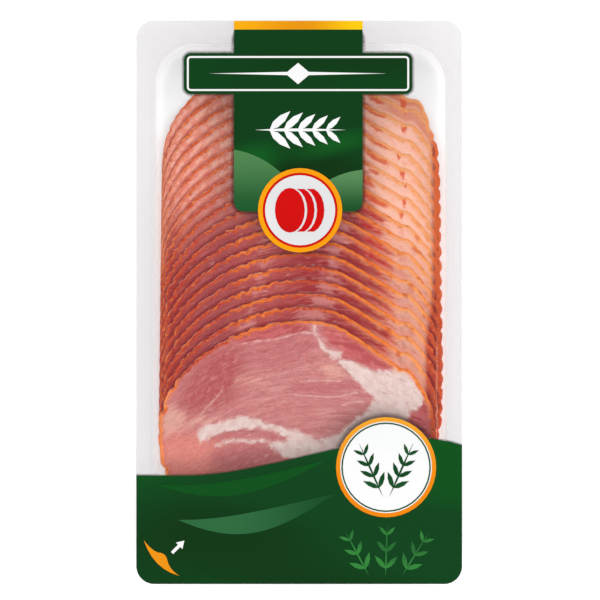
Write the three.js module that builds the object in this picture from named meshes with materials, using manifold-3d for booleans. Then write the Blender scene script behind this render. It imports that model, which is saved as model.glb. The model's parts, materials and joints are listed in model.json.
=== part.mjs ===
// A clear, sealed tray pack of sliced smoked pork neck, lying on its back with the lid up.
//
// Millimetres, +Z up. The origin is the middle of the pack's footprint, on the surface it lies on.
// +Y runs along the pack towards the end with the banner, and +X runs to its right.
//
// The pack is a thin moulded tray with a flange, a flat lid film on the flange, twenty slices
// shingled in the tray's pocket, and the print on the lid as thin plates in three layers.

import * as THREE from 'three';
import { mergeVertices } from 'three/addons/utils/BufferGeometryUtils.js';
import Module from 'manifold-3d';

const wasm = await Module();
wasm.setup();

// ---------------------------------------------------------------- driving dimensions

// the whole pack, seen from above
const packWidth = 140;
const packLength = 242;
const packCornerRadius = 7.7;

// the moulded tray
const trayWall = 0.5;
const trayHeight = 15.9;
const pocketHalfWidth = 62;
const pocketHalfLength = 111;
const pocketCornerRadius = 17.6;
const pocketCentreX = 0.65;
const lipRadius = 1.2;
const floorRadius = 4;
const wallDraft = THREE.MathUtils.degToRad(3);

// the lid film
const lidThickness = 0.3;
const lidGap = 0.05;

// the slices
const sliceCount = 20;
const sliceThickness = 0.8;
const sliceGap = 0.04;
const sliceHalfWidth = 60.6;
const sliceReachFar = 47.2;     // from a slice's widest line to its far edge
const sliceReachNear = 43;      // and to its near edge
const firstFarEdge = 103;       // the far edge of the lowest slice
const frontFarEdge = -7.7;      // the far edge of the top slice, which shows whole
const wallLift = 3;             // how far the slices' ends climb the tray's walls
const wallLiftStart = 50;
const leftSquareness = 1.85;    // of the front slice's far shoulders: 2 is an ellipse
const rightSquareness = 2;
const nearSquareness = 2.5;
const chordStart = 10;          // the right shoulder runs straight from here
const chordDeepest = 37;
const chordRise = 42.5;         // and steps out again between these
const chordEnd = 47.5;
const chordDepth = 5.2;
const chordSoftens = 2;         // how much shallower it is on the lowest slice
const stepDepth = 2;
const stepFade = 52;

// the print on the lid
const inkThickness = 0.1;
const inkGap = 0.02;
const edgeInset = 0.2;          // the print stops this far inside the pack's edge
const bannerLeft = -28;
const bannerRight = 27.2;
const bannerNear = 39;
const bannerRadius = 4.3;
const stripWidth = 3.7;
const plaqueCentre = [-0.5, 98.2];
const plaqueSize = [98, 17.6];
const badgeCentre = [0.4, 39.5];
const badgeRadius = 18.1;
const sealCentre = [37.3, -70.8];
const sealRadius = 21.5;

// ---------------------------------------------------------------- colours

const colours = {
  clearTray: 0xe9e6e8,
  lidFilm: 0xf6f6f8,
  meat: 0xc87a70,
  darkGreen: 0x1b4625,
  midGreen: 0x1e6128,
  paleGreen: 0x4d8250,
  leafGreen: 0x6f9f72,
  gold: 0xf6a803,
  orange: 0xf39318,
  red: 0xd71419,
  white: 0xf2f2f0,
};

const pack = new THREE.Group();

function addPiece(name, geometry, colour, { roughness = 0.35, opacity = 1 } = {}) {
  const material = new THREE.MeshStandardMaterial({ color: colour, roughness, metalness: 0 });
  material.transparent = opacity < 1;
  material.opacity = opacity;
  const mesh = new THREE.Mesh(geometry, material);
  mesh.name = name;
  pack.add(mesh);
  return mesh;
}

// ---------------------------------------------------------------- closed shells from rings

const cornerSteps = 6;

// A rounded rectangle about (centreX, 0), anticlockwise, always with the same number of points.
function roundedRing(halfWidth, halfLength, radius, centreX = 0) {
  const points = [];
  for (let corner = 0; corner < 4; corner++) {
    const sideX = corner === 0 || corner === 3 ? 1 : -1;
    const sideY = corner < 2 ? 1 : -1;
    for (let step = 0; step <= cornerSteps; step++) {
      const angle = (corner + step / cornerSteps) * Math.PI / 2;
      points.push([
        centreX + sideX * (halfWidth - radius) + radius * Math.cos(angle),
        sideY * (halfLength - radius) + radius * Math.sin(angle),
      ]);
    }
  }
  return points;
}

// Joins rings of {points, z} into one closed body, with a flat cap inside the first and last.
function loftRings(rings, centreX = 0) {
  const positions = [];
  const faces = [];
  const count = rings[0].points.length;
  for (const { points, z } of rings) {
    for (const [x, y] of points) positions.push(x, y, z);
  }
  const firstCentre = positions.length / 3;
  positions.push(centreX, 0, rings[0].z);
  positions.push(centreX, 0, rings[rings.length - 1].z);
  for (let i = 0; i < count; i++) {
    const next = (i + 1) % count;
    for (let ring = 0; ring < rings.length - 1; ring++) {
      const low = ring * count;
      const high = low + count;
      faces.push(low + i, low + next, high + next, low + i, high + next, high + i);
    }
    const last = (rings.length - 1) * count;
    faces.push(firstCentre, next, i);
    faces.push(firstCentre + 1, last + i, last + next);
  }
  return indexedGeometry(positions, faces);
}

function indexedGeometry(positions, faces) {
  const geometry = new THREE.BufferGeometry();
  geometry.setAttribute('position', new THREE.Float32BufferAttribute(positions, 3));
  geometry.setIndex(faces);
  geometry.computeVertexNormals();
  return geometry;
}

// ---------------------------------------------------------------- tray and lid

// Points of the tray's section from the flange down to the floor, as distances outward from the
// pocket's mouth and heights. offset 0 is the inner skin, and offset trayWall the outer skin.
function pocketSection(offset) {
  const lipSteps = 2;
  const floorSteps = 3;
  const section = [];
  const lipReach = lipRadius - offset;
  const lipCentreZ = trayHeight - lipRadius;
  for (let step = 0; step <= lipSteps; step++) {
    const angle = (step / lipSteps) * (Math.PI / 2 - wallDraft);
    section.push([lipRadius - lipReach * Math.sin(angle), lipCentreZ + lipReach * Math.cos(angle)]);
  }
  const floorCentreZ = trayWall + floorRadius;
  const draftShift = Math.tan(wallDraft) * (lipCentreZ - floorCentreZ);
  const floorReach = floorRadius + offset;
  for (let step = 0; step <= floorSteps; step++) {
    const angle = wallDraft + (step / floorSteps) * (Math.PI / 2 - wallDraft);
    section.push([
      -draftShift - floorRadius + floorReach * Math.cos(angle),
      floorCentreZ - floorReach * Math.sin(angle),
    ]);
  }
  return section;
}

function pocketRing([outward, z]) {
  const points = roundedRing(
    pocketHalfWidth + outward, pocketHalfLength + outward, pocketCornerRadius + outward, pocketCentreX);
  return { points, z };
}

function makeTray() {
  const edge = roundedRing(packWidth / 2, packLength / 2, packCornerRadius);
  const outerSkin = pocketSection(trayWall).reverse().map(pocketRing);
  const innerSkin = pocketSection(0).map(pocketRing);
  const rim = [{ points: edge, z: trayHeight - trayWall }, { points: edge, z: trayHeight }];
  return loftRings([...outerSkin, ...rim, ...innerSkin], pocketCentreX);
}

const lidBottom = trayHeight + lidGap;
const lidTop = lidBottom + lidThickness;

function makeLid() {
  const edge = roundedRing(packWidth / 2, packLength / 2, packCornerRadius);
  return loftRings([{ points: edge, z: lidBottom }, { points: edge, z: lidTop }]);
}

addPiece('tray', makeTray(), colours.clearTray, { roughness: 0.2, opacity: 0.35 });
addPiece('lid_film', makeLid(), colours.lidFilm, { roughness: 0.1, opacity: 0.2 });

// ---------------------------------------------------------------- slices

// Every slice has the same columns across the pack, and every height is a slice's number in the
// pile minus how many slices already ended beneath that place. So the sheets lie parallel, a
// sliceGap apart, and can't cut into each other, whatever their outlines.

const columnSteps = 26;
const columnEnd = 60.4;
const columnCrowding = 0.65;
const slicePitch = (firstFarEdge - frontFarEdge) / (sliceCount - 1);
const layerHeight = sliceThickness + sliceGap;
const pileFloor = trayWall + 0.1;
const widestLine = firstFarEdge - sliceReachFar;      // of the lowest slice

// the smooth outline that the pile's heights follow, a little squarer than the slices themselves
const pileHalfWidth = 62;
const pileReachNear = 43.6;
const pileSquareness = 3.2;
const rampBlend = 1.2;          // slices over which the level pile turns into a ramp
const splitTolerance = 0.05;

function superellipse(x, halfWidth, squareness) {
  return (1 - Math.abs(x / halfWidth) ** squareness) ** (1 / squareness);
}

// The columns stand closer together towards a slice's ends.
function columnX(column) {
  const t = 2 * column / columnSteps - 1;
  return columnEnd * THREE.MathUtils.lerp(t, Math.sin(t * Math.PI / 2), columnCrowding);
}

// Small waves along a slice's cut edge, different on each slice.
function edgeWave(x, slice, phase) {
  return 0.3 * Math.sin(x * 0.27 + slice * 2.4 + phase) + 0.25 * Math.sin(x * 0.5 + slice * 4.1 + phase);
}

// How far a slice's right shoulder falls short of a round one: a long chord, which ends in a step.
function shoulderDent(x, behind) {
  const { smoothstep } = THREE.MathUtils;
  const chord = smoothstep(x, chordStart, chordDeepest) * (1 - smoothstep(x, chordRise, chordEnd));
  const beyond = smoothstep(x, chordRise, chordEnd) * (1 - smoothstep(x, stepFade, sliceHalfWidth));
  return (chordDepth - chordSoftens * behind) * chord + stepDepth * beyond;
}

function sliceEdges(x, slice) {
  const behind = (sliceCount - 1 - slice) / (sliceCount - 1);       // 1 on the lowest slice
  const leftShoulder = leftSquareness + 0.5 * behind ** 6;
  const rightShoulder = rightSquareness + 0.25 * behind + 0.4 * behind ** 8;
  const middle = widestLine - slice * slicePitch;
  const far = middle + sliceReachFar * superellipse(x, sliceHalfWidth, x < 0 ? leftShoulder : rightShoulder)
    - shoulderDent(x, behind);
  const near = middle - sliceReachNear * superellipse(x, sliceHalfWidth, nearSquareness);
  return { far: far + edgeWave(x, slice, 0), near: near - Math.abs(edgeWave(x, slice, 1)) };
}

// How many slices have ended beneath a place: 0 over the level pile, then one more each pitch.
function endedBeneath(rows) {
  if (rows <= 0) return 0;
  return rows < rampBlend ? rows / 2 : rows - rampBlend / 2;
}

// A corner of a sheet: its place, its rows past the lowest slice's near edge, and its climb.
function sheetCorner(column, y) {
  const x = columnX(column);
  const pileNear = widestLine - pileReachNear * superellipse(x, pileHalfWidth, pileSquareness);
  const climb = Math.max(0, Math.abs(x) - wallLiftStart) / (columnEnd - wallLiftStart);
  return { x, y, rows: (pileNear - y) / slicePitch, lift: wallLift * climb ** 2 };
}

function blendCorners(a, b, t) {
  const mix = key => a[key] + (b[key] - a[key]) * t;
  return { x: mix('x'), y: mix('y'), rows: mix('rows'), lift: mix('lift') };
}

// Cuts a convex polygon of corners where rows passes a limit, into the parts below and above it.
function splitAtRows(polygon, limit) {
  const parts = [[], []];
  const tolerance = splitTolerance / slicePitch;
  polygon.forEach((corner, i) => {
    const next = polygon[(i + 1) % polygon.length];
    const here = corner.rows - limit;
    const there = next.rows - limit;
    if (here < tolerance) parts[0].push(corner);
    if (here > -tolerance) parts[1].push(corner);
    if (Math.abs(here) >= tolerance && Math.abs(there) >= tolerance && here * there < 0) {
      const crossing = blendCorners(corner, next, here / (here - there));
      parts[0].push(crossing);
      parts[1].push(crossing);
    }
  });
  return parts.filter(part => part.length > 2);
}

function makeSlice(slice) {
  const corners = [];
  const triangles = [];
  const numbers = new Map();
  const numberOf = corner => {
    const key = `${corner.x.toFixed(3)},${corner.y.toFixed(3)}`;
    if (!numbers.has(key)) {
      numbers.set(key, corners.length);
      corners.push(corner);
    }
    return numbers.get(key);
  };
  for (let column = 0; column < columnSteps; column++) {
    const left = sliceEdges(columnX(column), slice);
    const right = sliceEdges(columnX(column + 1), slice);
    const strip = [
      sheetCorner(column, left.near), sheetCorner(column + 1, right.near),
      sheetCorner(column + 1, right.far), sheetCorner(column, left.far),
    ];
    const parts = splitAtRows(strip, 0).flatMap(part => splitAtRows(part, rampBlend));
    for (const part of parts) {
      const ring = part.map(numberOf);
      for (let i = 1; i < ring.length - 1; i++) triangles.push([ring[0], ring[i], ring[i + 1]]);
    }
  }
  const heightOf = ({ rows, lift }) => pileFloor + lift + layerHeight * (slice - endedBeneath(rows));
  return sheetGeometry(corners, triangles, heightOf, sliceThickness);
}

// Closes a triangulated sheet into a body of one thickness, with a wall along its free edges.
function sheetGeometry(corners, triangles, heightOf, thickness) {
  const positions = [];
  for (const corner of corners) positions.push(corner.x + pocketCentreX, corner.y, heightOf(corner));
  for (const corner of corners) {
    positions.push(corner.x + pocketCentreX, corner.y, heightOf(corner) + thickness);
  }
  const up = corners.length;
  const faces = [];
  const edges = new Set();
  for (const [a, b, c] of triangles) {
    faces.push(a + up, b + up, c + up, c, b, a);
    for (const [from, to] of [[a, b], [b, c], [c, a]]) edges.add(`${from},${to}`);
  }
  for (const edge of edges) {
    const [from, to] = edge.split(',').map(Number);
    if (!edges.has(`${to},${from}`)) faces.push(from, to, to + up, from, to + up, from + up);
  }
  return indexedGeometry(positions, faces);
}

for (let slice = 0; slice < sliceCount; slice++) {
  const name = `slice_${String(slice + 1).padStart(2, '0')}`;
  addPiece(name, makeSlice(slice), colours.meat, { roughness: 0.45 });
}

// ---------------------------------------------------------------- print shapes

const curveSegments = 4;
const circleSegments = 20;

// A plate of ink on the lid. layer 0 lies on the film, and each next layer on the one before.
function inkPlate(shape, layer, segments = curveSegments) {
  const settings = { depth: inkThickness, bevelEnabled: false, curveSegments: segments };
  const geometry = new THREE.ExtrudeGeometry(shape, settings);
  geometry.deleteAttribute('normal');
  geometry.deleteAttribute('uv');
  geometry.translate(0, 0, lidTop + inkGap + layer * (inkThickness + inkGap));
  return mergeVertices(geometry);
}

function joinPlates(plates) {
  const solids = plates.map(plate => new wasm.Manifold(new wasm.Mesh({
    numProp: 3,
    vertProperties: new Float32Array(plate.attributes.position.array),
    triVerts: new Uint32Array(plate.index.array),
  })));
  const joined = solids.reduce((whole, solid) => whole.add(solid)).getMesh();
  return indexedGeometry(joined.vertProperties, Array.from(joined.triVerts));
}

// A rectangle whose near and far corners have radii of their own.
function rectangleShape(left, near, right, far, nearRadius, farRadius = nearRadius) {
  const shape = new THREE.Shape();
  shape.moveTo(left + nearRadius, near);
  shape.lineTo(right - nearRadius, near);
  if (nearRadius > 0) shape.absarc(right - nearRadius, near + nearRadius, nearRadius, -Math.PI / 2, 0);
  shape.lineTo(right, far - farRadius);
  if (farRadius > 0) shape.absarc(right - farRadius, far - farRadius, farRadius, 0, Math.PI / 2);
  shape.lineTo(left + farRadius, far);
  if (farRadius > 0) shape.absarc(left + farRadius, far - farRadius, farRadius, Math.PI / 2, Math.PI);
  shape.lineTo(left, near + nearRadius);
  if (nearRadius > 0) shape.absarc(left + nearRadius, near + nearRadius, nearRadius, Math.PI, 1.5 * Math.PI);
  return shape;
}

function rectangleAround([x, y], width, length, radius) {
  return rectangleShape(x - width / 2, y - length / 2, x + width / 2, y + length / 2, radius);
}

function discShape([x, y], radius) {
  return new THREE.Shape().absarc(x, y, radius, 0, 2 * Math.PI);
}

function ringShape(centre, outer, inner) {
  const shape = discShape(centre, outer);
  shape.holes.push(new THREE.Path().absarc(centre[0], centre[1], inner, 0, 2 * Math.PI, true));
  return shape;
}

// A pointed leaf from its stalk at (x, y), length long and width wide, turned to angle.
function leafShape([x, y], length, width, angle) {
  const along = new THREE.Vector2(Math.cos(angle), Math.sin(angle));
  const across = new THREE.Vector2(-along.y, along.x);
  const at = (u, v) => [x + along.x * u + across.x * v, y + along.y * u + across.y * v];
  const shape = new THREE.Shape();
  shape.moveTo(...at(0, 0));
  shape.quadraticCurveTo(...at(length * 0.4, -width), ...at(length, 0));
  shape.quadraticCurveTo(...at(length * 0.4, width), ...at(0, 0));
  return shape;
}

// A herb sprig: a straight stem with pairs of leaves that get shorter towards its tip.
function makeSprig({ foot, length, leafLength, pairs, angle }, layer) {
  const leafSegments = 3;
  const spread = THREE.MathUtils.degToRad(42);
  const stemWidth = length * 0.035;
  const [firstPair, lastPair] = [0.16, 0.78];       // as shares of the stem
  const shrink = 0.45;
  const slimness = 0.3;
  const parts = [inkPlate(leafShape(foot, length, stemWidth, angle), layer, leafSegments)];
  for (let pair = 0; pair < pairs; pair++) {
    const t = THREE.MathUtils.lerp(firstPair, lastPair, pair / (pairs - 1));
    const root = [foot[0] + Math.cos(angle) * length * t, foot[1] + Math.sin(angle) * length * t];
    const size = leafLength * (1 - shrink * t);
    for (const side of [-1, 1]) {
      const leaf = leafShape(root, size, size * slimness, angle + side * spread);
      parts.push(inkPlate(leaf, layer, leafSegments));
    }
  }
  return joinPlates(parts);
}

// ---------------------------------------------------------------- banner at the far end

const printFar = packLength / 2 - edgeInset;
const stripNear = printFar - stripWidth;
const banner = rectangleShape(bannerLeft, bannerNear, bannerRight, stripNear - inkGap, bannerRadius, 0);
addPiece('banner', inkPlate(banner, 0), colours.darkGreen);
const strip = rectangleShape(bannerLeft, stripNear, bannerRight, printFar, 0);
addPiece('banner_strip', inkPlate(strip, 0), colours.gold);

// A pale field of the banner: what lies inside a circle, in the near left or near right corner.
function bannerField(left, right, circleX, circleY, radius) {
  const shape = new THREE.Shape();
  const steps = 10;
  const heightAt = x => circleY + Math.sqrt(radius ** 2 - (x - circleX) ** 2);
  if (left === bannerLeft) {
    shape.moveTo(left, bannerNear + bannerRadius);
    shape.absarc(left + bannerRadius, bannerNear + bannerRadius, bannerRadius, Math.PI, 1.5 * Math.PI);
    shape.lineTo(right, bannerNear);
  } else {
    shape.moveTo(left, bannerNear);
    shape.lineTo(right - bannerRadius, bannerNear);
    shape.absarc(right - bannerRadius, bannerNear + bannerRadius, bannerRadius, -Math.PI / 2, 0);
  }
  for (let step = 0; step <= steps; step++) {
    const x = right + (left - right) * step / steps;
    shape.lineTo(x, heightAt(x));
  }
  return shape;
}

const fieldGap = 0.8;           // between the fields, under the badge
const leftCircle = [-34, 28, 38];
const rightCircle = [30, 22, 35];
addPiece('banner_field_left', inkPlate(bannerField(bannerLeft, -fieldGap / 2, ...leftCircle), 1),
  colours.midGreen);
addPiece('banner_field_right', inkPlate(bannerField(fieldGap / 2, bannerRight, ...rightCircle), 1),
  colours.paleGreen);
const bannerSprig = { foot: [-19, 74], length: 39, leafLength: 13, pairs: 5, angle: 0 };
addPiece('banner_sprig', makeSprig(bannerSprig, 1), colours.white);

const keylineWidth = 0.8;
const keylineInset = 1.3;
const [plaqueWidth, plaqueLength] = plaqueSize;
const plaqueRadius = 3;
addPiece('plaque', inkPlate(rectangleAround(plaqueCentre, plaqueWidth, plaqueLength, plaqueRadius), 1),
  colours.darkGreen);

function keylineShape() {
  const outerWidth = plaqueWidth - 2 * keylineInset;
  const outerLength = plaqueLength - 2 * keylineInset;
  const outer = rectangleAround(plaqueCentre, outerWidth, outerLength, plaqueRadius - keylineInset);
  const hole = rectangleAround(
    plaqueCentre, outerWidth - 2 * keylineWidth, outerLength - 2 * keylineWidth,
    plaqueRadius - keylineInset - keylineWidth);
  outer.holes.push(new THREE.Path(hole.getPoints(curveSegments).reverse()));
  return outer;
}
addPiece('plaque_keyline', inkPlate(keylineShape(), 2), colours.white);

// A plain ornament: a lozenge between two tapering lines.
function ornamentShape([x, y], { halfWidth, lozenge, lineWidth }) {
  const shape = new THREE.Shape();
  shape.moveTo(x - halfWidth, y);
  shape.lineTo(x - lozenge, y - lineWidth);
  shape.lineTo(x, y - lozenge);
  shape.lineTo(x + lozenge, y - lineWidth);
  shape.lineTo(x + halfWidth, y);
  shape.lineTo(x + lozenge, y + lineWidth);
  shape.lineTo(x, y + lozenge);
  shape.lineTo(x - lozenge, y + lineWidth);
  return shape;
}
const ornament = { halfWidth: 38, lozenge: 4.6, lineWidth: 0.7 };
addPiece('plaque_ornament', inkPlate(ornamentShape(plaqueCentre, ornament), 2), colours.white);

// ---------------------------------------------------------------- round badge and seal

const badgeGold = 2;            // widths of the badge's ring and line
const badgeRed = 1;
addPiece('badge_ring', inkPlate(ringShape(badgeCentre, badgeRadius, badgeRadius - badgeGold), 2,
  circleSegments), colours.gold);
const badgeLine = badgeRadius - badgeGold - inkGap;
addPiece('badge_line', inkPlate(ringShape(badgeCentre, badgeLine, badgeLine - badgeRed), 2, circleSegments),
  colours.red);
addPiece('badge_disc', inkPlate(discShape(badgeCentre, badgeLine - badgeRed - inkGap), 2, circleSegments),
  colours.white);

// The badge's motif is a fan of slices: one oval, and two curved bars behind its right side.
const fanReachX = 6.4;
const fanReachY = 9.6;
const fanStep = 4.2;
const fanGap = 1.1;
const fanShift = 4.4;
const fanCentre = [badgeCentre[0] - fanShift, badgeCentre[1]];
const ovalSegments = 10;

function curvedBarShape([x, y], width) {
  const turn = THREE.MathUtils.degToRad(72);
  const shape = new THREE.Shape();
  shape.absellipse(x, y, fanReachX, fanReachY, -turn, turn);
  shape.absellipse(x - width, y, fanReachX, fanReachY, turn, -turn, true);
  return shape;
}
addPiece('badge_slice_1', inkPlate(new THREE.Shape().absellipse(
  ...fanCentre, fanReachX, fanReachY, 0, 2 * Math.PI), 3, ovalSegments), colours.red);
for (const place of [1, 2]) {
  const centre = [fanCentre[0] + place * fanStep, fanCentre[1]];
  addPiece(`badge_slice_${place + 1}`, inkPlate(curvedBarShape(centre, fanStep - fanGap), 3), colours.red);
}

const sealOrange = 1.8;
const sealLineRadius = 19.2;
const sealLineWidth = 0.6;
addPiece('seal_ring', inkPlate(ringShape(sealCentre, sealRadius, sealRadius - sealOrange), 1, circleSegments),
  colours.orange);
addPiece('seal_disc', inkPlate(discShape(sealCentre, sealRadius - sealOrange - inkGap), 1, circleSegments),
  colours.white);
addPiece('seal_line', inkPlate(ringShape(sealCentre, sealLineRadius, sealLineRadius - sealLineWidth), 2,
  circleSegments), colours.darkGreen);
const sealSprig = { apart: 1.4, below: 12.6, lean: THREE.MathUtils.degToRad(24) };
for (const side of [-1, 1]) {
  const foot = [sealCentre[0] + side * sealSprig.apart, sealCentre[1] - sealSprig.below];
  const angle = Math.PI / 2 - side * sealSprig.lean;
  const name = side < 0 ? 'seal_sprig_left' : 'seal_sprig_right';
  addPiece(name, makeSprig({ foot, length: 25, leafLength: 8, pairs: 4, angle }, 2), colours.darkGreen);
}

// ---------------------------------------------------------------- wide print at the near end

const wideEdge = packWidth / 2 - edgeInset;
const wideNear = -packLength / 2 + edgeInset;
const wideRadius = packCornerRadius - edgeInset;
const waveLow = -74.4;          // the far edge of the wide print, left of its wave
const waveHigh = -58.4;         // and on the wave's top
const waveStart = -50;
const waveEnd = 52;
const waveFall = 3;             // how far it falls again by the right edge

function waveFar(x) {
  const rise = THREE.MathUtils.smoothstep(x, waveStart, waveEnd);
  const fall = Math.max(0, (x - waveEnd) / (wideEdge - waveEnd));
  return waveLow + (waveHigh - waveLow) * rise - waveFall * fall ** 2;
}

function widePrintShape() {
  const steps = 28;
  const shape = new THREE.Shape();
  shape.moveTo(-wideEdge, wideNear + wideRadius);
  shape.absarc(-wideEdge + wideRadius, wideNear + wideRadius, wideRadius, Math.PI, 1.5 * Math.PI);
  shape.absarc(wideEdge - wideRadius, wideNear + wideRadius, wideRadius, -Math.PI / 2, 0);
  for (let step = 0; step <= steps; step++) {
    const x = wideEdge - 2 * wideEdge * step / steps;
    shape.lineTo(x, waveFar(x));
  }
  return shape;
}
addPiece('wide_print', inkPlate(widePrintShape(), 0), colours.darkGreen);

// A band of lighter green that follows the wave, then narrows to a point at both ends.
function bandShape({ left, right, below, depth }) {
  const steps = 16;
  const shape = new THREE.Shape();
  const at = t => left + (right - left) * t;
  shape.moveTo(left, waveFar(left) - below);
  for (let step = 1; step <= steps; step++) {
    const t = step / steps;
    shape.lineTo(at(t), waveFar(at(t)) - below - depth * Math.sin(Math.PI * t));
  }
  for (let step = steps - 1; step > 0; step--) {
    const t = step / steps;
    shape.lineTo(at(t), waveFar(at(t)) - below);
  }
  return shape;
}
const highBand = { left: -62, right: 12, below: 4, depth: 6.5 };
const lowBand = { left: -52, right: 16, below: 19, depth: 9 };
addPiece('wide_band', inkPlate(bandShape(highBand), 1), colours.midGreen);
addPiece('wide_band_low', inkPlate(bandShape(lowBand), 1), colours.paleGreen);

const wideSprigs = [
  { foot: [30, -117.5], length: 22, lean: 28 },
  { foot: [37, -118], length: 23, lean: -2 },
  { foot: [44, -117.5], length: 22, lean: -32 },
];
wideSprigs.forEach(({ foot, length, lean }, i) => {
  const angle = Math.PI / 2 + THREE.MathUtils.degToRad(lean);
  const sprig = makeSprig({ foot, length, leafLength: 8, pairs: 3, angle }, 1);
  addPiece(`wide_sprig_${i + 1}`, sprig, colours.leafGreen);
});

// The peel mark at the corner: a curved flash with a thumb-shaped bump, and an arrow. Each arc of
// the flash is a control point and an end point.
const flashTip = [-66.8, -101.9];
const flashArcs = [
  [-62.6, -114.6, -51.4, -117.4],
  [-55.4, -115, -56.4, -111.5],
  [-57, -107.4, -60.6, -107.4],
  [-63.8, -106.2, ...flashTip],
];

function flashShape() {
  const shape = new THREE.Shape();
  shape.moveTo(...flashTip);
  for (const arc of flashArcs) shape.quadraticCurveTo(...arc);
  return shape;
}
const flashSegments = 6;
addPiece('peel_flash', inkPlate(flashShape(), 1, flashSegments), colours.orange);

const arrow = { tail: [-54.6, -107.6], length: 7.5, angle: Math.PI / 4 };
const shaftHalf = 0.09;         // the arrow's sizes, as shares of its length
const headHalf = 0.26;
const headStart = 0.58;

function arrowShape({ tail: [x, y], length, angle }) {
  const turn = new THREE.Vector2(Math.cos(angle), Math.sin(angle));
  const at = (u, v) => [x + (turn.x * u - turn.y * v) * length, y + (turn.y * u + turn.x * v) * length];
  const shape = new THREE.Shape();
  shape.moveTo(...at(0, -shaftHalf));
  shape.lineTo(...at(headStart, -shaftHalf));
  shape.lineTo(...at(headStart, -headHalf));
  shape.lineTo(...at(1, 0));
  shape.lineTo(...at(headStart, headHalf));
  shape.lineTo(...at(headStart, shaftHalf));
  shape.lineTo(...at(0, shaftHalf));
  return shape;
}
addPiece('peel_arrow', inkPlate(arrowShape(arrow), 1), colours.white);

export default pack;
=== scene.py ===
import json
import math

import bpy
import numpy as np
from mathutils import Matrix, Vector


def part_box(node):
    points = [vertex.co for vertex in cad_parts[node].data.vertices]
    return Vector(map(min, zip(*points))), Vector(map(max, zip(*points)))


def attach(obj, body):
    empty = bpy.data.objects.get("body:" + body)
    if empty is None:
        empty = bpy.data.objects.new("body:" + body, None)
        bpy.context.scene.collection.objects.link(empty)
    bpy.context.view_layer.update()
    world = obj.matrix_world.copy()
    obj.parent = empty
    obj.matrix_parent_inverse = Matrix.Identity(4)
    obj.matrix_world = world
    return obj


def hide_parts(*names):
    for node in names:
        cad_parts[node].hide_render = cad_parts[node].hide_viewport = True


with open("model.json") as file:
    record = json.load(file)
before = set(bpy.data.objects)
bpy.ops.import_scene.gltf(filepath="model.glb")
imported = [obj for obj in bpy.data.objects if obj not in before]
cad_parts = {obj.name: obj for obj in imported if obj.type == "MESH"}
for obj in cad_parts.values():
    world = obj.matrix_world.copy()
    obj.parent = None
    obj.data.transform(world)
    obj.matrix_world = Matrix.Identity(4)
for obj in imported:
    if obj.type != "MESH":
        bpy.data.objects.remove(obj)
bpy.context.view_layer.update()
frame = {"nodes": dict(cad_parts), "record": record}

# A clear, sealed tray pack of sliced smoked pork neck, seen from straight above.
# Lengths are written in millimetres and turned into metres where a mesh, lamp or camera is made.

MM = 0.001
nodes = frame["nodes"]


# ---------------------------------------------------------------- sizes, in millimetres

PACK_WIDTH = 140.0
PACK_LENGTH = 242.0
PACK_CORNER = 7.7
TRAY_WALL = 0.5
TRAY_HEIGHT = 15.9
POCKET_HALF_WIDTH = 62.0
POCKET_HALF_LENGTH = 111.0
POCKET_CORNER = 17.6
POCKET_CENTRE_X = 0.65
LIP_RADIUS = 1.2
FLOOR_RADIUS = 4.0
WALL_DRAFT = math.radians(3)

SLICE_COUNT = 20
SLICE_THICKNESS = 0.8
SLICE_GAP = 0.04
SLICE_HALF_WIDTH = 60.6
SLICE_REACH_FAR = 47.2
SLICE_REACH_NEAR = 43.0
FIRST_FAR_EDGE = 103.0
FRONT_FAR_EDGE = -7.7
SLICE_PITCH = (FIRST_FAR_EDGE - FRONT_FAR_EDGE) / (SLICE_COUNT - 1)
WIDEST_LINE = FIRST_FAR_EDGE - SLICE_REACH_FAR
LAYER = SLICE_THICKNESS + SLICE_GAP
PILE_FLOOR = TRAY_WALL + 0.2
PILE_HALF_WIDTH = 62.0
PILE_REACH_NEAR = 43.6
PILE_SQUARENESS = 3.2
WALL_LIFT = 3.0
WALL_LIFT_START = 50.0
# the slices' half widths to the left and right: slice numbers, and the half widths at them
LEFT_ENDS = (0, 10, 19), (60.3, 60.9, 61.6)
RIGHT_ENDS = (0, 1, 9, 14, 17, 19), (57.4, 60.2, 60.8, 61.4, 61.1, 58.2)
NEAR_SQUARENESS = 2.7
LEFT_SQUARENESS, RIGHT_SQUARENESS = 1.85, 2.0      # of the far shoulders, on the front slice
# the right shoulder runs straight along a chord, then steps out again
CHORD_START, CHORD_DEEPEST, CHORD_RISE, CHORD_END = 10.0, 37.0, 42.5, 47.5
CHORD_DEPTH, CHORD_SOFTENS = 5.2, 2.0
STEP_DEPTH, STEP_FADE = 2.0, 52.0

# the print: the corners' radii, the wide print's wave, and the soft shade painted on the film round the
# panels
BANNER_RADIUS = 4.3
PLAQUE_RADIUS = 3.0
WAVE_START, WAVE_END = -50.0, 52.0
WAVE_LOW, WAVE_HIGH = -74.4, -58.4
WAVE_FALL = 3.0                    # how far the wave falls again by the right edge
HALO_WIDTH = 4.0
HALO_NARROWING = {"seal": 1.25, "banner": 1.9, "plaque": 2.4, "wide": 3.6}
HALO_FALL, HALO_STRENGTH = 1.7, 0.45

# the photograph's frame: 600 pixels across, this many millimetres a pixel on the lid
PHOTO_PIXELS = 600
PHOTO_SCALE = 0.4294
PHOTO_CENTRE = (299.2, 302.3)      # the pixel over the pack's middle
CAMERA_HEIGHT = 1500.0             # above the lid
FLOOR_REACH, FLOOR_DROP = 2500.0, 0.05
SURROUNDING_LIGHT = 0.93

# distances that stand for outside of everything, and for clear of everything
OUTSIDE, CLEAR = -9.0, 9.0


# ---------------------------------------------------------------- small helpers

def srgb(red, green, blue):
    """A linear colour from the 0 to 255 values that a picture shows."""
    def linear(value):
        value /= 255
        return value / 12.92 if value <= 0.04045 else ((value + 0.055) / 1.055) ** 2.4
    return (linear(red), linear(green), linear(blue), 1.0)


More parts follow.
